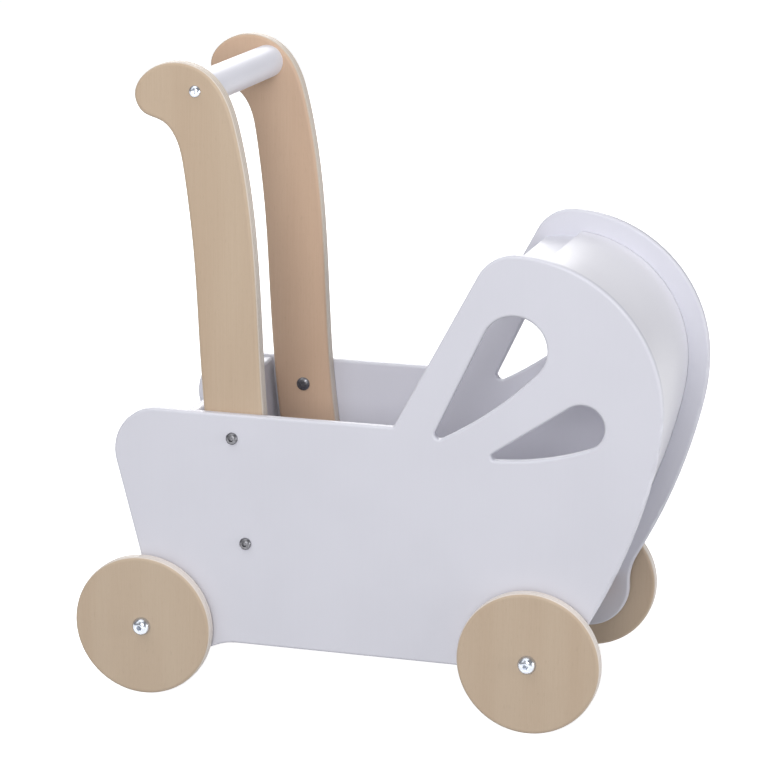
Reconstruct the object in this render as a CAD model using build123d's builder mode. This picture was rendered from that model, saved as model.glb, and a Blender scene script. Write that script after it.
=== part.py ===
"""Wooden doll pram: two shaped side panels, a bent hood, a curved push handle and four wheels.

Frame: +X forward, towards the hood; +Y to the pram's left; +Z up. Millimetres. The origin is on
the floor, below the middle of the overall length and width.
"""
from build123d import *
from math import acos, asin, atan2, cos, degrees, hypot, radians, sin, tan
import os

os.makedirs("parts", exist_ok=True)

# overall sizes
overall_length = 420.0
panel_width = 184.0            # over the outer faces of the two side panels
panel_thickness = 7.0
inner_y = panel_width / 2 - panel_thickness
outer_y = panel_width / 2

# wheels and axles
wheel_radius = 50.8
wheel_thickness = 10.0
wheel_edge = 2.6               # rounding of the tread's two edges
wheelbase = 282.0
rear_axle_x = wheel_radius - overall_length / 2
front_axle_x = rear_axle_x + wheelbase
axle_z = wheel_radius
axle_points = [(rear_axle_x, axle_z), (front_axle_x, axle_z)]
spacer_thickness = 1.8
end_play = 0.1
wheel_inner_y = outer_y + spacer_thickness + end_play
wheel_outer_y = wheel_inner_y + wheel_thickness
shoulder_radius = 3.0
running_gap = 0.05
bush_radius = 5.0
thread_radius = 2.5
axle_head_radius = 6.5
axle_head_height = 5.4
bolt_tip_y = 50.0

# side panel outline
top_z = 208.5
bottom_z = 40.5
lobe_radius = 32.5
rear_corner_x = -192.0         # where the top edge and the slanted rear edge would meet
rear_lean = 14.5               # degrees from vertical
notch_x = 22.3                 # where the hood's rear edge leaves the top edge
hood_rear_slope = 62.0         # degrees from horizontal
ramp_slope = 23.0
panel_edge = 2.0
rear_edge_foot_z = 69.5        # inside the rear lobe
rear_top_corner = 32.0
rear_lobe_corner = 14.0
ramp_corner = 40.0
front_lobe_rear_corner = 20.0
front_lobe_front_corner = 40.0
front_lobe_corner_z = 61.6
notch_corner = 2.5
hood_rear_corner_radius = 30.0

# front curve: hood, nose and chin arcs, tangent to each other, with turns below horizontal
hood_radius = 105.0
nose_radius = 150.0
nose_turn = 12.0
chin_radius = 425.0
chin_turn = 28.0
hood_centre = (overall_length / 2 - hood_radius, 229.0)
nose_centre = (overall_length / 2 - nose_radius, hood_centre[1])
chin_centre = (
    nose_centre[0] + (nose_radius - chin_radius) * cos(radians(nose_turn)),
    nose_centre[1] - (nose_radius - chin_radius) * sin(radians(nose_turn)),
)

# petal windows: (tip centre, tip radius, round end centre, end radius, belly radius)
petals = [
    ((55.3, 206.0), 3.5, (106.5, 269.0), 23.0, 260.0),
    ((94.5, 193.2), 2.5, (154.5, 218.0), 15.8, 190.0),
]

# hood shell and mouth rail
shell_inset = 15.5             # from the panel's front edge to the shell's outer face
shell_thickness = 4.0
shell_tuck = 3.0               # how deep the shell sits in its groove in each panel
groove_gap = 0.2
mouth_angle = 84.5             # of the shell's leading edge, about the hood centre
shell_turn = 20.0
shell_bottom_z = 61.0
rail_angles = (78.0, 104.5)
rail_thickness = 12.0
rail_lip_radius = 2.0
rail_back_radius = 5.0

# floor, beams and rear board
beam_size = 20.0
beam_chamfer = 1.0
beam_top = axle_z + beam_size / 2
board_thickness = 9.0
floor_top = beam_top + board_thickness
floor_front_gap = 0.3
rear_board_top = 207.0
rear_board_lean = 6.0
rear_board_front_x = -122.8    # at its top edge
rear_board_edge = 3.0

# handle
arm_thickness = 12.0
arm_edge = 2.5
arm_bolt_points = [(-94.5, 191.2), (-84.9, 115.3)]
arm_end_radius = 22.0
arm_lean = 7.2                 # degrees from vertical, at the lower bolts
arm_outline = [                # up the front edge, round the top, down the rear edge
    (-72.6, 193.0),
    (-77.4, 272.0),
    (-83.0, 350.0),
    (-92.6, 405.5),
    (-101.2, 430.2),
    (-115.6, 446.6),
    (-136.0, 452.5),
    (-157.5, 445.0),
    (-166.5, 429.4),
    (-160.5, 416.6),
    (-146.7, 410.9),
    (-137.5, 400.4),
    (-131.5, 377.8),
    (-124.6, 317.2),
    (-120.8, 250.0),
    (-116.4, 191.0),
]
bar_centre = (-122.0, 433.0)
bar_radius = 12.0
arm_inner_y = inner_y - arm_thickness

# fasteners
dowel_radius = 3.0
dowel_in_panel = 4.5
dowel_length = 25.0
beam_dowel_radius = 2.0
beam_dowel_length = 20.0
beam_dowel_offset = 6.5
arm_thread_radius = 3.0
sleeve_radius = 4.0
board_screw_radius = 2.0
board_screw_length = 27.0
bar_screw_radius = 2.0
bar_screw_depth = 30.0
bar_head_radius = 4.2
bar_head_height = 2.6
bar_socket_radius = 1.4
arm_head_radius = 4.3
arm_head_height = 2.8
nut_flange_radius = 5.0
nut_flange_height = 1.6
bolt_socket_radius = 2.0
bolt_tip_gap = 2.0
dome_rim = 0.35                # shares of a head's height, radius and height
dome_shoulder = (0.72, 0.86)
socket_floor = 0.45
screw_head_radius = 4.0
spacer_radius = 7.0
barrel_nut_radius = 5.0
barrel_nut_length = 16.0
barrel_nut_y = 58.0
floor_screw_ys = (-28.0, 28.0)

floor_dowel_points = [(-100.0, 65.3), (-20.0, 65.3), (60.0, 65.3)]
rail_dowel_angles = (84.0, 98.0)
rear_dowel_heights = (100.0, 175.0)


def polar(centre, radius, angle):
    return (centre[0] + radius * cos(radians(angle)), centre[1] + radius * sin(radians(angle)))


def front_curve(inset, start_angle, end_turn):
    """The front curve at an inset, from an angle on the hood down to a turn below horizontal."""
    CenterArc(hood_centre, hood_radius - inset, 0, start_angle)
    CenterArc(nose_centre, nose_radius - inset, -nose_turn, nose_turn)
    CenterArc(chin_centre, chin_radius - inset, -end_turn, end_turn - nose_turn)
    return polar(chin_centre, chin_radius - inset, -end_turn)


def down_to(point, turn, z):
    """Where a line that leaves point at a lean of turn degrees reaches the height z."""
    return (point[0] - (point[1] - z) * tan(radians(turn)), z)


def petal_outline(tip, tip_radius, end, end_radius, belly_radius):
    """Two round ends, joined by a straight upper flank and a bellied lower flank."""
    run = hypot(end[0] - tip[0], end[1] - tip[1])
    heading = degrees(atan2(end[1] - tip[1], end[0] - tip[0]))
    flare = degrees(asin((end_radius - tip_radius) / run))
    upper = heading + 90 + flare
    tip_reach = belly_radius - tip_radius
    end_reach = belly_radius - end_radius
    swing = degrees(acos((tip_reach ** 2 + run ** 2 - end_reach ** 2) / (2 * tip_reach * run)))
    belly_centre = polar(tip, tip_reach, heading + swing)
    tip_angle = heading + swing + 180
    end_angle = degrees(atan2(end[1] - belly_centre[1], end[0] - belly_centre[0]))
    Line(polar(tip, tip_radius, upper), polar(end, end_radius, upper))
    ThreePointArc(
        polar(end, end_radius, upper),
        polar(end, end_radius, heading),
        polar(end, end_radius, end_angle),
    )
    ThreePointArc(
        polar(end, end_radius, end_angle),
        polar(belly_centre, belly_radius, (tip_angle - 360 + end_angle) / 2),
        polar(tip, tip_radius, tip_angle),
    )
    ThreePointArc(
        polar(tip, tip_radius, tip_angle),
        polar(tip, tip_radius, heading + 180),
        polar(tip, tip_radius, upper),
    )


def shell_outline(grow):
    """The bent hood sheet's section, grown all round by grow."""
    outer = shell_inset - grow
    inner = shell_inset + shell_thickness + grow
    start = mouth_angle + degrees(grow / (hood_radius - shell_inset))
    outer_end = front_curve(outer, start, shell_turn)
    inner_end = front_curve(inner, start, shell_turn)
    outer_foot = down_to(outer_end, shell_turn, shell_bottom_z - grow)
    inner_foot = down_to(inner_end, shell_turn, shell_bottom_z - grow)
    Line(polar(hood_centre, hood_radius - outer, start), polar(hood_centre, hood_radius - inner, start))
    Line(outer_end, outer_foot)
    Line(inner_end, inner_foot)
    Line(outer_foot, inner_foot)


def hood_rear_corner():
    """Where the hood's slanted rear edge would meet the hood arc."""
    step_x = cos(radians(hood_rear_slope))
    step_z = sin(radians(hood_rear_slope))
    from_x = notch_x - hood_centre[0]
    from_z = top_z - hood_centre[1]
    half = from_x * step_x + from_z * step_z
    reach = -half + (half ** 2 - from_x ** 2 - from_z ** 2 + hood_radius ** 2) ** 0.5
    return (notch_x + reach * step_x, top_z + reach * step_z)


def finish(part_builder, name):
    part_builder.part.label = name
    export_step(part_builder.part, "parts/" + name + ".step")


def make_dowels(points, radius, length):
    """Round pegs along Y at both side panels, each let into its panel by dowel_in_panel."""
    with BuildPart() as dowels:
        for side in (-1, 1):
            with BuildSketch(Plane.XZ.offset(side * (inner_y + dowel_in_panel))):
                with Locations(*points):
                    Circle(radius)
            extrude(amount=-side * length)
    return dowels


def dome_head(plane, radius, height, socket_radius):
    """A button head that stands on the plane, with a hexagon socket."""
    rim = height * dome_rim
    shoulder = (radius * dome_shoulder[0], height * dome_shoulder[1])
    with BuildPart() as head:
        with BuildSketch(Plane.XZ):
            with BuildLine():
                Line((0, 0), (radius, 0))
                Line((radius, 0), (radius, rim))
                ThreePointArc((radius, rim), shoulder, (0, height))
                Line((0, height), (0, 0))
            make_face()
        revolve(axis=Axis.Z)
        with BuildSketch(Plane.XY.offset(height * socket_floor)):
            RegularPolygon(socket_radius, 6)
        extrude(amount=height, mode=Mode.SUBTRACT)
    return plane * head.part


# ---------------------------------------------------------------- shared hole places
rear_slope = tan(radians(rear_board_lean))
rear_dowel_points = [
    (rear_board_front_x + (rear_board_top - z) * rear_slope - board_thickness / 2, z)
    for z in rear_dowel_heights
]
rail_middle_radius = hood_radius - shell_inset - shell_thickness - groove_gap - rail_thickness / 2
rail_dowel_points = [polar(hood_centre, rail_middle_radius, angle) for angle in rail_dowel_angles]
panel_dowel_points = floor_dowel_points + rear_dowel_points + rail_dowel_points
beam_dowel_points = [
    (x + offset, axle_z)
    for x, _ in axle_points
    for offset in (-beam_dowel_offset, beam_dowel_offset)
]
floor_screw_points = [(front_axle_x, y) for y in floor_screw_ys]


# ---------------------------------------------------------------- side panels
hood_corner = hood_rear_corner()
hood_corner_angle = degrees(atan2(hood_corner[1] - hood_centre[1], hood_corner[0] - hood_centre[0]))
ramp_start = polar((rear_axle_x, axle_z), lobe_radius, ramp_slope - 90)
ramp_end = (ramp_start[0] + (bottom_z - ramp_start[1]) / tan(radians(ramp_slope)), bottom_z)
rear_edge_foot = (
    rear_corner_x + (top_z - rear_edge_foot_z) * tan(radians(rear_lean)),
    rear_edge_foot_z,
)

with BuildSketch(Plane.XZ.offset(inner_y)) as panel_profile:
    with BuildLine():
        chin_end = front_curve(0, hood_corner_angle, chin_turn)
        chin_foot = down_to(chin_end, chin_turn, axle_z)
        Polyline(
            chin_end,
            chin_foot,
            (front_axle_x, axle_z),
            (front_axle_x, bottom_z),
            ramp_end,
            ramp_start,
            (rear_axle_x, axle_z),
            rear_edge_foot,
            (rear_corner_x, top_z),
            (notch_x, top_z),
            hood_corner,
        )
    make_face()
    with Locations(*axle_points):
        Circle(lobe_radius)
    corner_roundings = [
        ((rear_corner_x, top_z), rear_top_corner),
        ((rear_axle_x, axle_z + lobe_radius), rear_lobe_corner),
        (ramp_end, ramp_corner),
        ((front_axle_x - lobe_radius, bottom_z), front_lobe_rear_corner),
        ((front_axle_x + lobe_radius, front_lobe_corner_z), front_lobe_front_corner),
        ((notch_x, top_z), notch_corner),
        (hood_corner, hood_rear_corner_radius),
    ]
    for place, radius in corner_roundings:
        fillet(panel_profile.vertices().sort_by_distance(place)[0], radius)
    for petal in petals:
        with BuildLine():
            petal_outline(*petal)
        make_face(mode=Mode.SUBTRACT)

with BuildSketch(Plane.XZ.offset(inner_y)) as groove_profile:
    with BuildLine():
        shell_outline(groove_gap)
    make_face()

with BuildPart() as right_side_panel:
    extrude(panel_profile.sketch, amount=panel_thickness)
    for face in (faces().sort_by(Axis.Y)[0], faces().sort_by(Axis.Y)[-1]):
        fillet(face.edges(), panel_edge)
    with BuildSketch(Plane.XZ.offset(inner_y)):
        with Locations(*arm_bolt_points):
            Circle(arm_thread_radius + running_gap)
        with Locations(*axle_points):
            Circle(thread_radius + running_gap)
    extrude(amount=panel_thickness, mode=Mode.SUBTRACT)
    extrude(groove_profile.sketch, amount=shell_tuck + groove_gap, mode=Mode.SUBTRACT)
    add(make_dowels(panel_dowel_points, dowel_radius, dowel_length).part, mode=Mode.SUBTRACT)
    add(make_dowels(beam_dowel_points, beam_dowel_radius, beam_dowel_length).part, mode=Mode.SUBTRACT)

with BuildPart() as left_side_panel:
    mirror(right_side_panel.part, about=Plane.XZ)

finish(right_side_panel, "right_side_panel")
finish(left_side_panel, "left_side_panel")


# ---------------------------------------------------------------- axle beams
def make_axle_beam(x):
    with BuildPart() as beam:
        with BuildSketch(Plane.XZ.offset(-inner_y)):
            with Locations((x, axle_z)):
                Rectangle(beam_size, beam_size)
        extrude(amount=2 * inner_y)
        chamfer(beam.edges().filter_by(Axis.Y), beam_chamfer)
        for side in (-1, 1):
            with BuildSketch(Plane.XZ.offset(side * inner_y)):
                with Locations((x, axle_z)):
                    Circle(thread_radius + running_gap)
            extrude(amount=-side * (inner_y - bolt_tip_y + bolt_tip_gap), mode=Mode.SUBTRACT)
        add(make_dowels(beam_dowel_points, beam_dowel_radius, beam_dowel_length).part, mode=Mode.SUBTRACT)
        with BuildSketch(Plane.XY.offset(axle_z - beam_size / 2)):
            with Locations((x, -barrel_nut_y), (x, barrel_nut_y)):
                Circle(barrel_nut_radius)
        extrude(amount=(beam_size + barrel_nut_length) / 2, mode=Mode.SUBTRACT)
    return beam


with BuildPart() as front_axle_beam:
    add(make_axle_beam(front_axle_x).part)
    with BuildSketch(Plane.XY.offset(beam_top)):
        with Locations(*floor_screw_points):
            Circle(board_screw_radius)
    extrude(amount=-(board_screw_length - board_thickness), mode=Mode.SUBTRACT)

finish(front_axle_beam, "front_axle_beam")
finish(make_axle_beam(rear_axle_x), "rear_axle_beam")

# ---------------------------------------------------------------- floor board
shell_inner_radius = chin_radius - shell_inset - shell_thickness
shell_bend_end = polar(chin_centre, shell_inner_radius, -shell_turn)
floor_front_top = down_to(shell_bend_end, shell_turn, floor_top)[0] - floor_front_gap
floor_front_bottom = floor_front_top - board_thickness * tan(radians(shell_turn))
rear_board_foot_x = rear_board_front_x + (rear_board_top - beam_top) * rear_slope
floor_rear_x = rear_board_foot_x + floor_front_gap

with BuildPart() as floor_board:
    with BuildSketch(Plane.XZ.offset(-inner_y)):
        with BuildLine():
            Polyline(
                (floor_rear_x, beam_top),
                (floor_front_bottom, beam_top),
                (floor_front_top, floor_top),
                (floor_rear_x, floor_top),
                close=True,
            )
        make_face()
    extrude(amount=2 * inner_y)
    with BuildSketch(Plane.XY.offset(floor_top)):
        with Locations(*floor_screw_points):
            Circle(board_screw_radius)
    extrude(amount=-board_thickness, mode=Mode.SUBTRACT)
    with BuildSketch(Plane.XY.offset(floor_top)):
        with Locations(*floor_screw_points):
            Circle(screw_head_radius)
    extrude(amount=-screw_head_radius + board_screw_radius, taper=45, mode=Mode.SUBTRACT)
    add(make_dowels(floor_dowel_points, dowel_radius, dowel_length).part, mode=Mode.SUBTRACT)
finish(floor_board, "floor_board")

# ---------------------------------------------------------------- rear board
board_run = board_thickness / cos(radians(rear_board_lean))

with BuildPart() as rear_board:
    with BuildSketch(Plane.XZ.offset(-inner_y)):
        with BuildLine():
            Polyline(
                (rear_board_foot_x, beam_top),
                (rear_board_front_x, rear_board_top),
                (rear_board_front_x - board_run, rear_board_top),
                (rear_board_foot_x - board_run, beam_top),
                close=True,
            )
        make_face()
    extrude(amount=2 * inner_y)
    fillet(rear_board.faces().sort_by(Axis.Z)[-1].edges().filter_by(Axis.Y), rear_board_edge)
    add(make_dowels(rear_dowel_points, dowel_radius, dowel_length).part, mode=Mode.SUBTRACT)
finish(rear_board, "rear_board")

# ---------------------------------------------------------------- hood
with BuildPart() as hood_shell:
    with BuildSketch(Plane.XZ.offset(-inner_y - shell_tuck)):
        with BuildLine():
            shell_outline(0)
        make_face()
    extrude(amount=2 * (inner_y + shell_tuck))
finish(hood_shell, "hood_shell")

rail_outer = hood_radius - shell_inset - shell_thickness - groove_gap
rail_inner = rail_outer - rail_thickness

with BuildPart() as hood_mouth_rail:
    with BuildSketch(Plane.XZ.offset(-inner_y)):
        with BuildLine():
            CenterArc(hood_centre, rail_outer, rail_angles[0], rail_angles[1] - rail_angles[0])
            CenterArc(hood_centre, rail_inner, rail_angles[0], rail_angles[1] - rail_angles[0])
            for angle in rail_angles:
                Line(polar(hood_centre, rail_outer, angle), polar(hood_centre, rail_inner, angle))
        make_face()
    extrude(amount=2 * inner_y)
    rail_faces = hood_mouth_rail.faces().sort_by(Axis.X)
    fillet(rail_faces[0].edges().filter_by(Axis.Y), rail_back_radius)
    fillet(hood_mouth_rail.faces().sort_by(Axis.X)[-1].edges().filter_by(Axis.Y), rail_lip_radius)
    add(make_dowels(rail_dowel_points, dowel_radius, dowel_length).part, mode=Mode.SUBTRACT)
finish(hood_mouth_rail, "hood_mouth_rail")

# ---------------------------------------------------------------- handle
with BuildPart() as right_handle_arm:
    with BuildSketch(Plane.XZ.offset(arm_inner_y)):
        lower_bolt = arm_bolt_points[1]
        front_foot = polar(lower_bolt, arm_end_radius, arm_lean)
        rear_foot = polar(lower_bolt, arm_end_radius, arm_lean + 180)
        with BuildLine():
            Spline(
                front_foot,
                *arm_outline,
                rear_foot,
                tangents=[
                    (-sin(radians(arm_lean)), cos(radians(arm_lean))),
                    (sin(radians(arm_lean)), -cos(radians(arm_lean))),
                ],
            )
            ThreePointArc(rear_foot, polar(lower_bolt, arm_end_radius, arm_lean - 90), front_foot)
        make_face()
    extrude(amount=arm_thickness)
    for face in (faces().sort_by(Axis.Y)[0], faces().sort_by(Axis.Y)[-1]):
        fillet(face.edges(), arm_edge)
    with BuildSketch(Plane.XZ.offset(arm_inner_y)):
        with Locations(*arm_bolt_points):
            Circle(sleeve_radius + running_gap)
        with Locations(bar_centre):
            Circle(bar_screw_radius)
    extrude(amount=arm_thickness, mode=Mode.SUBTRACT)

with BuildPart() as left_handle_arm:
    mirror(right_handle_arm.part, about=Plane.XZ)

finish(right_handle_arm, "right_handle_arm")
finish(left_handle_arm, "left_handle_arm")

with BuildPart() as handle_bar:
    with BuildSketch(Plane.XZ.offset(-arm_inner_y)):
        with Locations(bar_centre):
            Circle(bar_radius)
    extrude(amount=2 * arm_inner_y)
    for side in (-1, 1):
        with BuildSketch(Plane.XZ.offset(side * arm_inner_y)):
            with Locations(bar_centre):
                Circle(bar_screw_radius)
        extrude(amount=-side * bar_screw_depth, mode=Mode.SUBTRACT)
finish(handle_bar, "handle_bar")

# ---------------------------------------------------------------- wheels
wheel_places = [
    ("front_left", front_axle_x, 1),
    ("front_right", front_axle_x, -1),
    ("rear_left", rear_axle_x, 1),
    ("rear_right", rear_axle_x, -1),
]


def axle_plane(x, z, side, y):
    """A plane across the axle at a distance y from the middle, facing outwards on that side."""
    return Plane(origin=(x, side * y, z), x_dir=(-side, 0, 0), z_dir=(0, side, 0))


for place_name, x, side in wheel_places:
    wheel_plane = axle_plane(x, axle_z, side, wheel_inner_y)
    with BuildPart() as wheel:
        with BuildSketch(wheel_plane):
            Circle(wheel_radius)
        extrude(amount=wheel_thickness)
        fillet(wheel.edges(), wheel_edge)
        with BuildSketch(wheel_plane):
            Circle(bush_radius)
        extrude(amount=wheel_thickness, mode=Mode.SUBTRACT)
    finish(wheel, place_name + "_wheel")
    with BuildPart() as wheel_bush:
        with BuildSketch(wheel_plane):
            Circle(bush_radius)
            Circle(shoulder_radius + running_gap, mode=Mode.SUBTRACT)
        extrude(amount=wheel_thickness)
    finish(wheel_bush, place_name + "_wheel_bush")

# ---------------------------------------------------------------- fasteners
with BuildPart() as axle_bolts:
    for _, x, side in wheel_places:
        with BuildSketch(axle_plane(x, axle_z, side, bolt_tip_y)):
            Circle(thread_radius)
        extrude(amount=outer_y - bolt_tip_y)
        with BuildSketch(axle_plane(x, axle_z, side, outer_y)):
            Circle(shoulder_radius)
        extrude(amount=wheel_outer_y + end_play - outer_y)
        head_plane = axle_plane(x, axle_z, side, wheel_outer_y + end_play)
        add(dome_head(head_plane, axle_head_radius, axle_head_height, bolt_socket_radius))
finish(axle_bolts, "axle_bolts")

with BuildPart() as axle_spacers:
    for _, x, side in wheel_places:
        with BuildSketch(axle_plane(x, axle_z, side, outer_y)):
            Circle(spacer_radius)
            Circle(shoulder_radius, mode=Mode.SUBTRACT)
        extrude(amount=spacer_thickness)
finish(axle_spacers, "axle_spacers")

with BuildPart() as axle_barrel_nuts:
    with BuildSketch(Plane.XY.offset(axle_z - barrel_nut_length / 2)):
        with Locations(*[(x, side * barrel_nut_y) for _, x, side in wheel_places]):
            Circle(barrel_nut_radius)
    extrude(amount=barrel_nut_length)
    for _, x, side in wheel_places:
        with BuildSketch(axle_plane(x, axle_z, side, bolt_tip_y)):
            Circle(thread_radius)
        extrude(amount=inner_y - bolt_tip_y, mode=Mode.SUBTRACT)
finish(axle_barrel_nuts, "axle_barrel_nuts")

with BuildPart() as arm_bolts:
    for x, z in arm_bolt_points:
        for side in (-1, 1):
            with BuildSketch(axle_plane(x, z, side, arm_inner_y + bolt_tip_gap)):
                Circle(arm_thread_radius)
            extrude(amount=outer_y - arm_inner_y - bolt_tip_gap)
            head_plane = axle_plane(x, z, side, outer_y)
            add(dome_head(head_plane, arm_head_radius, arm_head_height, bolt_socket_radius))
finish(arm_bolts, "arm_bolts")

with BuildPart() as arm_sleeve_nuts:
    for x, z in arm_bolt_points:
        for side in (-1, 1):
            with BuildSketch(axle_plane(x, z, side, arm_inner_y)):
                Circle(sleeve_radius)
            extrude(amount=arm_thickness)
            flange_plane = axle_plane(x, z, -side, -arm_inner_y)
            add(dome_head(flange_plane, nut_flange_radius, nut_flange_height, bolt_socket_radius))
            with BuildSketch(axle_plane(x, z, side, arm_inner_y + bolt_tip_gap)):
                Circle(arm_thread_radius)
            extrude(amount=arm_thickness, mode=Mode.SUBTRACT)
finish(arm_sleeve_nuts, "arm_sleeve_nuts")

with BuildPart() as handle_bar_screws:
    for side in (-1, 1):
        with BuildSketch(axle_plane(*bar_centre, side, arm_inner_y - bar_screw_depth)):
            Circle(bar_screw_radius)
        extrude(amount=bar_screw_depth + arm_thickness)
        head_plane = axle_plane(*bar_centre, side, inner_y)
        add(dome_head(head_plane, bar_head_radius, bar_head_height, bar_socket_radius))
finish(handle_bar_screws, "handle_bar_screws")

with BuildPart() as floor_board_screws:
    with BuildSketch(Plane.XY.offset(floor_top)):
        with Locations(*floor_screw_points):
            Circle(board_screw_radius)
    extrude(amount=-board_screw_length)
    with BuildSketch(Plane.XY.offset(floor_top)):
        with Locations(*floor_screw_points):
            Circle(screw_head_radius)
    extrude(amount=-screw_head_radius + board_screw_radius, taper=45)
finish(floor_board_screws, "floor_board_screws")

finish(make_dowels(floor_dowel_points, dowel_radius, dowel_length), "floor_board_dowels")
finish(make_dowels(rear_dowel_points, dowel_radius, dowel_length), "rear_board_dowels")
finish(make_dowels(rail_dowel_points, dowel_radius, dowel_length), "mouth_rail_dowels")
finish(make_dowels(beam_dowel_points, beam_dowel_radius, beam_dowel_length), "axle_beam_dowels")
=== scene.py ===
"""Looks for the wooden doll pram: materials, studio lights and camera.

Lengths are in metres, in the model's own frame: +X forward towards the hood, +Y to the pram's
left, +Z up, and the wheels stand on Z = 0. Noise scales are in cycles per metre along X, Y and Z.
"""

from math import cos, radians, sin

import bpy
from mathutils import Matrix, Vector

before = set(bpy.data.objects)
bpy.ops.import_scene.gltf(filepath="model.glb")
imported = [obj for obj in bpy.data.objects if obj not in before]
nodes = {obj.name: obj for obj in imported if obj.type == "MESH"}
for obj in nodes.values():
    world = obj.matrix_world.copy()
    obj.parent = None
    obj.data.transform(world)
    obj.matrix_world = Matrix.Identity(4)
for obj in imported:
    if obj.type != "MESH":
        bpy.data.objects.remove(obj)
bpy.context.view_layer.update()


# ---------------------------------------------------------------- node helpers
class Graph:
    """One material's node tree, built from small wrapped nodes."""

    def __init__(self, name):
        self.material = bpy.data.materials.new(name)
        self.material.use_nodes = True
        self.tree = self.material.node_tree
        self.tree.nodes.clear()
        self.surface = self.node("ShaderNodeBsdfPrincipled")
        output = self.node("ShaderNodeOutputMaterial")
        self.link(self.surface.outputs["BSDF"], output.inputs["Surface"])
        self.place = self.node("ShaderNodeTexCoord")

    def node(self, kind, **settings):
        """A new node of this kind with its own settings."""
        made = self.tree.nodes.new(kind)
        for key, value in settings.items():
            setattr(made, key, value)
        return made

    def link(self, source, target):
        self.tree.links.new(source, target)

    def feed(self, socket, value):
        """Links value to the socket, or sets it when it is a plain number."""
        if isinstance(value, bpy.types.NodeSocket):
            self.link(value, socket)
        else:
            socket.default_value = value

    def stretched(self, scale, offset=(0.0, 0.0, 0.0)):
        """Object coordinates, scaled along each axis."""
        mapping = self.node("ShaderNodeMapping")
        mapping.inputs["Scale"].default_value = scale
        mapping.inputs["Location"].default_value = offset
        self.link(self.place.outputs["Object"], mapping.inputs["Vector"])
        return mapping.outputs["Vector"]

    def noise(self, scale, offset=(0.0, 0.0, 0.0), detail=3.0, roughness=0.55):
        """Noise from 0 to 1 over the object coordinates."""
        vector = self.stretched(scale, offset)
        made = self.node("ShaderNodeTexNoise")
        self.link(vector, made.inputs["Vector"])
        made.inputs["Scale"].default_value = 1.0
        made.inputs["Detail"].default_value = detail
        made.inputs["Roughness"].default_value = roughness
        made.inputs["Distortion"].default_value = 0.0
        return made.outputs["Fac"]

    def math(self, operation, first, second=0.0, clamp=False):
        """One arithmetic step on sockets or plain numbers."""
        made = self.node("ShaderNodeMath", operation=operation, use_clamp=clamp)
        self.feed(made.inputs[0], first)
        self.feed(made.inputs[1], second)
        return made.outputs[0]

    def spread(self, value, low, high, to_low=0.0, to_high=1.0):
        """A smooth step of value from low..high to to_low..to_high."""
        made = self.node("ShaderNodeMapRange", interpolation_type="SMOOTHSTEP")
        self.feed(made.inputs["Value"], value)
        made.inputs["From Min"].default_value = low
        made.inputs["From Max"].default_value = high
        made.inputs["To Min"].default_value = to_low
        made.inputs["To Max"].default_value = to_high
        return made.outputs["Result"]

    def blend(self, share, first, second):
        """A colour between first and second."""
        made = self.node("ShaderNodeMix", data_type="RGBA")
        self.feed(made.inputs[0], share)
        for socket, value in ((made.inputs[6], first), (made.inputs[7], second)):
            if isinstance(value, bpy.types.NodeSocket):
                self.link(value, socket)
            else:
                socket.default_value = (*value, 1.0)
        return made.outputs[2]

    def along(self, source, axis):
        """One axis of a vector socket."""
        split = self.node("ShaderNodeSeparateXYZ")
        self.link(source, split.inputs[0])
        return split.outputs["XYZ".index(axis)]

    def facing(self, axis, low, high):
        """1 on faces that look along the axis, 0 on faces across it."""
        normal = self.along(self.place.outputs["Normal"], axis)
        return self.spread(self.math("ABSOLUTE", normal), low, high)

    def bump(self, height, distance, strength):
        """Surface relief from height, which is worth distance metres at 1."""
        made = self.node("ShaderNodeBump")
        made.inputs["Strength"].default_value = strength
        made.inputs["Distance"].default_value = distance
        self.link(height, made.inputs["Height"])
        self.link(made.outputs["Normal"], self.surface.inputs["Normal"])

    def colour(self, value):
        """Takes the surface colour from a socket."""
        self.link(value, self.surface.inputs["Base Color"])

    def roughness(self, value):
        """Takes the surface roughness from a socket."""
        self.link(value, self.surface.inputs["Roughness"])

    def settings(self, values):
        """Sets plain values on the surface's sockets, by socket name."""
        for key, value in values.items():
            self.surface.inputs[key].default_value = value


def darker(colour, share):
    return tuple(c * share for c in colour)


def plies(graph, pitch):
    """0 on one set of veneers and 1 on the other, with thin glue lines between, across Y."""
    waviness = 0.25
    veneer_step = (0.42, 0.58)
    glue_half_width = (0.02, 0.07)

    y = graph.along(graph.place.outputs["Object"], "Y")
    wobble = graph.noise((60.0, 0.0, 60.0), detail=1.0)
    level = graph.math("MULTIPLY", y, 1.0 / pitch)
    level = graph.math("ADD", level, graph.math("MULTIPLY", wobble, waviness))
    wave = graph.math("PINGPONG", level, 1.0)
    veneer = graph.spread(wave, *veneer_step)
    glue = graph.math("ABSOLUTE", graph.math("SUBTRACT", wave, 0.5))
    glue = graph.spread(glue, *glue_half_width, 1.0, 0.0)
    return veneer, glue


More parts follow.
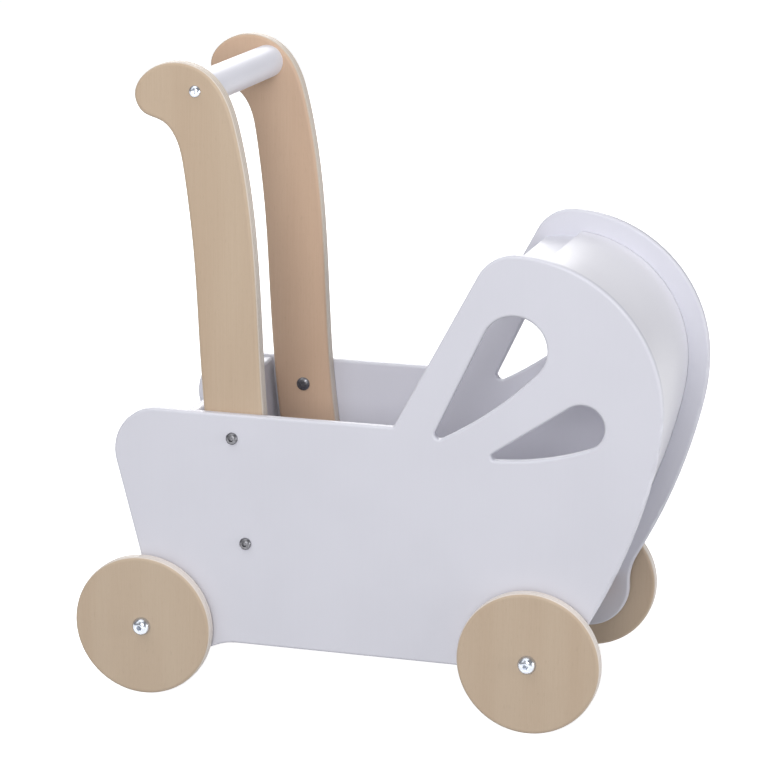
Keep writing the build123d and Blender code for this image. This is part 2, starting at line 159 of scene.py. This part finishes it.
# ---------------------------------------------------------------- wood
def make_birch(name, colours, ply_pitch, seed):
    """Clear-lacquered birch plywood: grain along Z on the faces, plies across Y on the edges."""
    light, dark, edge_light, edge_dark = colours
    rings_per_metre = 150.0
    ring_bend = 16.0
    tone_share, ring_share, fibre_share = 0.55, 0.2, 0.25
    fleck_share, fleck_shade = 0.2, 0.72
    veneer_share = 0.75
    stipple_share, stipple_shade = 0.35, 0.7
    glue_share, glue_shade = 0.3, 0.5
    tone_range, ring_range, fibre_range = (0.32, 0.68), (-0.9, 1.0), (0.3, 0.7)
    fleck_range, end_grain_range = (0.62, 0.74), (0.45, 0.7)
    face_normal = (0.45, 0.8)
    lacquer_range, lacquer_roughness = (0.25, 0.8), (0.44, 0.56)
    fibre_lift, fleck_depth, end_grain_depth, edge_depth = 0.5, 0.6, 0.5, 0.6
    relief, relief_strength = 0.00012, 0.5
    drift = (seed, 0.0, seed * 0.7)

    g = Graph(name)
    tone = g.noise((9.0, 9.0, 2.2), drift, detail=2.0)
    figure_warp = g.noise((14.0, 10.0, 3.0), drift, detail=2.0, roughness=0.5)
    x = g.along(g.stretched((rings_per_metre, 1.0, 1.0), drift), "X")
    ring = g.math("ADD", x, g.math("MULTIPLY", figure_warp, ring_bend))
    ring = g.math("SINE", ring)
    ring = g.spread(ring, *ring_range)
    fibre = g.noise((1500.0, 1500.0, 24.0), drift, detail=4.0, roughness=0.65)
    fleck = g.noise((2600.0, 2600.0, 170.0), drift, detail=1.0, roughness=0.4)
    fleck = g.spread(fleck, *fleck_range)

    share = g.math("MULTIPLY", g.spread(tone, *tone_range), tone_share)
    share = g.math("ADD", share, g.math("MULTIPLY", ring, ring_share))
    fibre_part = g.math("MULTIPLY", g.spread(fibre, *fibre_range), fibre_share)
    share = g.math("ADD", share, fibre_part, clamp=True)
    face = g.blend(share, light, dark)
    face = g.blend(g.math("MULTIPLY", fleck, fleck_share), face, darker(dark, fleck_shade))

    veneer, glue = plies(g, ply_pitch)
    end_grain = g.noise((900.0, 900.0, 900.0), drift, detail=3.0, roughness=0.7)
    # The edge colours hold painted highlight on top of the plies' own pale tone.
    edge = g.blend(g.math("MULTIPLY", veneer, veneer_share), edge_light, edge_dark)
    stipple = g.math("MULTIPLY", veneer, g.spread(end_grain, *end_grain_range))
    stipple = g.math("MULTIPLY", stipple, stipple_share)
    edge = g.blend(stipple, edge, darker(edge_dark, stipple_shade))
    edge = g.blend(g.math("MULTIPLY", glue, glue_share), edge, darker(edge_dark, glue_shade))

    is_face = g.facing("Y", *face_normal)
    g.colour(g.blend(is_face, edge, face))
    g.roughness(g.spread(fibre, *lacquer_range, *lacquer_roughness))
    pores = g.math("MULTIPLY", fleck, fleck_depth)
    lift_face = g.math("SUBTRACT", g.math("MULTIPLY", fibre, fibre_lift), pores)
    lift_edge = g.math("ADD", glue, g.math("MULTIPLY", end_grain, end_grain_depth))
    lift_edge = g.math("MULTIPLY", lift_edge, -edge_depth)
    across = g.math("SUBTRACT", 1.0, is_face)
    lift_face = g.math("MULTIPLY", lift_face, is_face)
    lift = g.math("ADD", lift_face, g.math("MULTIPLY", lift_edge, across))
    g.bump(lift, relief, relief_strength)
    g.settings({"Specular IOR Level": 0.35})
    return g.material


def make_hardwood():
    """Plain beech for the beams and dowels: grain along Y."""
    light, dark, ray = (0.62, 0.42, 0.26), (0.40, 0.235, 0.125), (0.27, 0.15, 0.08)
    tone_share, fibre_share, ray_share = 0.5, 0.5, 0.5
    ray_range = (0.6, 0.72)
    oil_range, oil_roughness = (0.3, 0.8), (0.5, 0.65)
    relief, relief_strength = 0.00012, 0.5

    g = Graph("beech")
    tone = g.noise((40.0, 6.0, 40.0), detail=2.0)
    fibre = g.noise((1100.0, 30.0, 1100.0), detail=3.0)
    rays = g.noise((1500.0, 320.0, 1500.0), detail=1.0)
    tone = g.math("MULTIPLY", tone, tone_share)
    share = g.math("ADD", tone, g.math("MULTIPLY", fibre, fibre_share), clamp=True)
    body = g.blend(share, light, dark)
    rays = g.math("MULTIPLY", g.spread(rays, *ray_range), ray_share)
    g.colour(g.blend(rays, body, ray))
    g.roughness(g.spread(fibre, *oil_range, *oil_roughness))
    g.bump(fibre, relief, relief_strength)
    return g.material


# ---------------------------------------------------------------- paint
def make_paint(name, base, grain, edge_pitch=None):
    """White satin paint: fine sprayed texture, a faint trace of the grain, plies at the edges."""
    cloud_share, trace_share = 0.85, 0.15
    cloud_range, cloud_shade = (0.35, 0.7), 0.97
    peel_range, peel_roughness = (0.3, 0.7), (0.34, 0.44)
    peel_lift, trace_lift = 0.8, 0.12
    edge_normal = (0.3, 0.75)
    veneer_share, line_share, line_shade, line_depth = 0.35, 0.16, 0.8, 0.8
    relief, relief_strength = 0.00006, 0.45

    g = Graph(name)
    cloud = g.noise((11.0, 11.0, 11.0), detail=2.0)
    peel = g.noise((620.0, 620.0, 620.0), detail=2.0, roughness=0.45)
    trace = g.noise(grain, detail=3.0, roughness=0.6)
    share = g.math("MULTIPLY", cloud, cloud_share)
    share = g.math("ADD", share, g.math("MULTIPLY", trace, trace_share), clamp=True)
    body = g.blend(g.spread(share, *cloud_range), base, darker(base, cloud_shade))
    lift = g.math("MULTIPLY", peel, peel_lift)
    lift = g.math("ADD", lift, g.math("MULTIPLY", trace, trace_lift))
    if edge_pitch:
        veneer, glue = plies(g, edge_pitch)
        across = g.math("SUBTRACT", 1.0, g.facing("Y", *edge_normal))
        line = g.math("MAXIMUM", g.math("MULTIPLY", veneer, veneer_share), glue)
        line = g.math("MULTIPLY", across, line)
        body = g.blend(g.math("MULTIPLY", line, line_share), body, darker(base, line_shade))
        lift = g.math("SUBTRACT", lift, g.math("MULTIPLY", line, line_depth))
    g.colour(body)
    g.roughness(g.spread(peel, *peel_range, *peel_roughness))
    g.bump(lift, relief, relief_strength)
    g.settings({"Specular IOR Level": 0.4})
    return g.material


# ---------------------------------------------------------------- metal and plastic
def make_plated(name, base, stain, smooth, rough):
    """Plated steel with soft mottling and fine turning marks."""
    stain_range, rough_range = (0.35, 0.75), (0.3, 0.75)
    relief, relief_strength = 0.00002, 0.35

    g = Graph(name)
    mottle = g.noise((700.0, 700.0, 700.0), detail=4.0, roughness=0.6)
    scratch = g.noise((5200.0, 900.0, 5200.0), detail=2.0)
    g.colour(g.blend(g.spread(mottle, *stain_range), base, stain))
    g.roughness(g.spread(mottle, *rough_range, smooth, rough))
    g.bump(scratch, relief, relief_strength)
    g.settings({"Metallic": 1.0})
    return g.material


def make_nylon():
    """Natural nylon: milky, with faint moulding flow."""
    pale, creamy = (0.74, 0.73, 0.68), (0.66, 0.645, 0.59)
    flow_range, flow_roughness = (0.3, 0.7), (0.36, 0.5)
    relief, relief_strength = 0.00004, 0.4

    g = Graph("nylon")
    flow = g.noise((240.0, 240.0, 240.0), detail=3.0)
    g.colour(g.blend(g.spread(flow, *flow_range), pale, creamy))
    g.roughness(g.spread(flow, *flow_range, *flow_roughness))
    g.bump(flow, relief, relief_strength)
    g.settings({"Subsurface Weight": 0.15, "Subsurface Scale": 0.002})
    return g.material


# Birch: face light and dark, then edge light and dark. The edge colours are the plies' own pale tone
# lifted further by painted highlight, which stands in for the light that the rounded edges of the
# arms and wheels catch.
arm_edges_and_highlight = ((0.74, 0.67, 0.60), (0.63, 0.53, 0.43))
arm_colours = ((0.55, 0.43, 0.315), (0.48, 0.355, 0.25), *arm_edges_and_highlight)
far_arm_colours = ((0.60, 0.43, 0.31), (0.53, 0.36, 0.25), *arm_edges_and_highlight)
wheel_colours_and_edge_highlight = ((0.545, 0.435, 0.325), (0.485, 0.365, 0.262), (0.80, 0.75, 0.71), (0.70, 0.62, 0.55))

# Thickness of one veneer in each plywood.
panel_ply = 0.0013
arm_ply = 0.00135
wheel_ply = 0.00143

# Seeds move the wood's figure, so that no two pieces are alike.
right_arm_seed = 0.37
left_arm_seed = 2.1
first_wheel_seed = 4.3
wheel_seed_step = 1.9

# Grain of the painted pieces: along Z on the panels, along Y on all that spans between them.
# One white paint in copies of different brightness: the side panels are darker (painted shade) and
# the bent sheet and handle bar are lighter (painted light) than the boards, each set to the light
# that piece gets.
panel_white_shaded = make_paint("painted_ply", (0.67, 0.67, 0.738), (700.0, 700.0, 22.0), panel_ply)
sheet_white_lit = make_paint("painted_bent_ply", (0.80, 0.795, 0.85), (700.0, 18.0, 700.0))
board_white = make_paint("painted_board", (0.75, 0.75, 0.815), (700.0, 20.0, 700.0))
bar_white_lit = make_paint("painted_bar", (0.80, 0.80, 0.87), (900.0, 16.0, 900.0))
bright = make_plated("bright_zinc", (0.62, 0.66, 0.73), (0.50, 0.53, 0.59), 0.16, 0.3)
dull = make_plated("dark_zinc", (0.22, 0.22, 0.235), (0.13, 0.13, 0.14), 0.3, 0.48)

looks = {
    "right_side_panel": panel_white_shaded,
    "left_side_panel": panel_white_shaded,
    "floor_board": board_white,
    "rear_board": board_white,
    "hood_shell": sheet_white_lit,
    "hood_mouth_rail": board_white,
    "right_handle_arm": make_birch("birch_arm_right", arm_colours, arm_ply, right_arm_seed),
    "left_handle_arm": make_birch("birch_arm_left", far_arm_colours, arm_ply, left_arm_seed),
    "handle_bar": bar_white_lit,
    "axle_bolts": bright,
    "arm_bolts": dull,
    "arm_sleeve_nuts": dull,
    "handle_bar_screws": bright,
    "floor_board_screws": bright,
    "axle_barrel_nuts": bright,
}
hardwood = make_hardwood()
nylon = make_nylon()
for beam in ("rear_axle_beam", "front_axle_beam"):
    looks[beam] = hardwood
for peg in ("floor_board_dowels", "rear_board_dowels", "mouth_rail_dowels", "axle_beam_dowels"):
    looks[peg] = hardwood
looks["axle_spacers"] = nylon
for step, corner in enumerate(("front_left", "front_right", "rear_left", "rear_right")):
    seed = first_wheel_seed + wheel_seed_step * step
    looks[corner + "_wheel"] = make_birch("birch_wheel_" + corner, wheel_colours_and_edge_highlight, wheel_ply, seed)
    looks[corner + "_wheel_bush"] = nylon

for name, node in nodes.items():
    node.data.materials.clear()
    node.data.materials.append(looks[name])


# ---------------------------------------------------------------- studio
def make_floor():
    """A wide white floor that glows a little, so that it reads as a seamless backdrop."""
    half_width = 30.0
    corners = [(-half_width, -half_width, 0.0), (half_width, -half_width, 0.0),
               (half_width, half_width, 0.0), (-half_width, half_width, 0.0)]
    mesh = bpy.data.meshes.new("studio_floor")
    mesh.from_pydata(corners, [], [(0, 1, 2, 3)])
    floor = bpy.data.objects.new("studio_floor", mesh)
    bpy.context.scene.collection.objects.link(floor)
    g = Graph("studio_floor")
    g.settings({
        "Base Color": (0.9, 0.9, 0.905, 1.0),
        "Roughness": 0.9,
        "Specular IOR Level": 0.1,
        "Emission Color": (1.0, 1.0, 1.0, 1.0),
        "Emission Strength": 0.72,
    })
    mesh.materials.append(g.material)
    floor.visible_diffuse = False


def make_light(name, place, aim, size, power):
    """A rectangular softbox at place that points at aim."""
    data = bpy.data.lights.new(name, "AREA")
    data.shape = "RECTANGLE"
    data.size, data.size_y = size
    data.energy = power
    light = bpy.data.objects.new(name, data)
    light.location = place
    direction = Vector(aim) - Vector(place)
    light.rotation_euler = direction.to_track_quat("-Z", "Y").to_euler()
    bpy.context.scene.collection.objects.link(light)


make_floor()
# Name, place, aim, size and power in watts.
softboxes = (
    ("key_softbox", (0.30, -2.0, 0.84), (-0.05, 0.0, 0.2), (0.6, 0.6), 20.0),
    ("left_softbox", (-1.7, -1.8, 1.6), (-0.1, 0.0, 0.2), (1.3, 1.3), 6.0),
    ("fill_softbox", (2.3, -0.2, 0.35), (0.15, 0.0, 0.15), (1.6, 1.0), 22.0),
    ("top_softbox", (-0.3, -0.6, 2.05), (0.0, 0.0, 0.2), (1.9, 1.9), 17.0),
    ("back_softbox", (-0.8, 2.3, 1.3), (0.0, 0.0, 0.2), (1.6, 1.6), 30.0),
)
for softbox in softboxes:
    make_light(*softbox)

world = bpy.data.worlds.new("studio")
world.use_nodes = True
background = world.node_tree.nodes["Background"]
background.inputs["Color"].default_value = (0.97, 0.98, 1.0, 1.0)
background.inputs["Strength"].default_value = 0.32
bpy.context.scene.world = world
bpy.context.scene.view_settings.view_transform = "Standard"

# ---------------------------------------------------------------- camera
camera_place = (0.5617, -1.9935, 0.7354)
azimuth = radians(15.996)
elevation = radians(14.110)
roll = radians(0.351)
focal_length = 139.178
sensor_width = 36.0
far_limit = 100.0

forward = Vector((-sin(azimuth) * cos(elevation), cos(azimuth) * cos(elevation), -sin(elevation)))
level_right = Vector((cos(azimuth), sin(azimuth), 0.0))
level_up = Vector((-sin(azimuth) * sin(elevation), cos(azimuth) * sin(elevation), cos(elevation)))
right = cos(roll) * level_right + sin(roll) * level_up
up = cos(roll) * level_up - sin(roll) * level_right

lens = bpy.data.cameras.new("camera")
lens.sensor_width = sensor_width
lens.lens = focal_length
lens.clip_end = far_limit
camera = bpy.data.objects.new("camera", lens)
bpy.context.scene.collection.objects.link(camera)
turn = Matrix((right, up, -forward)).transposed().to_4x4()
camera.matrix_world = Matrix.Translation(camera_place) @ turn
bpy.context.scene.camera = camera
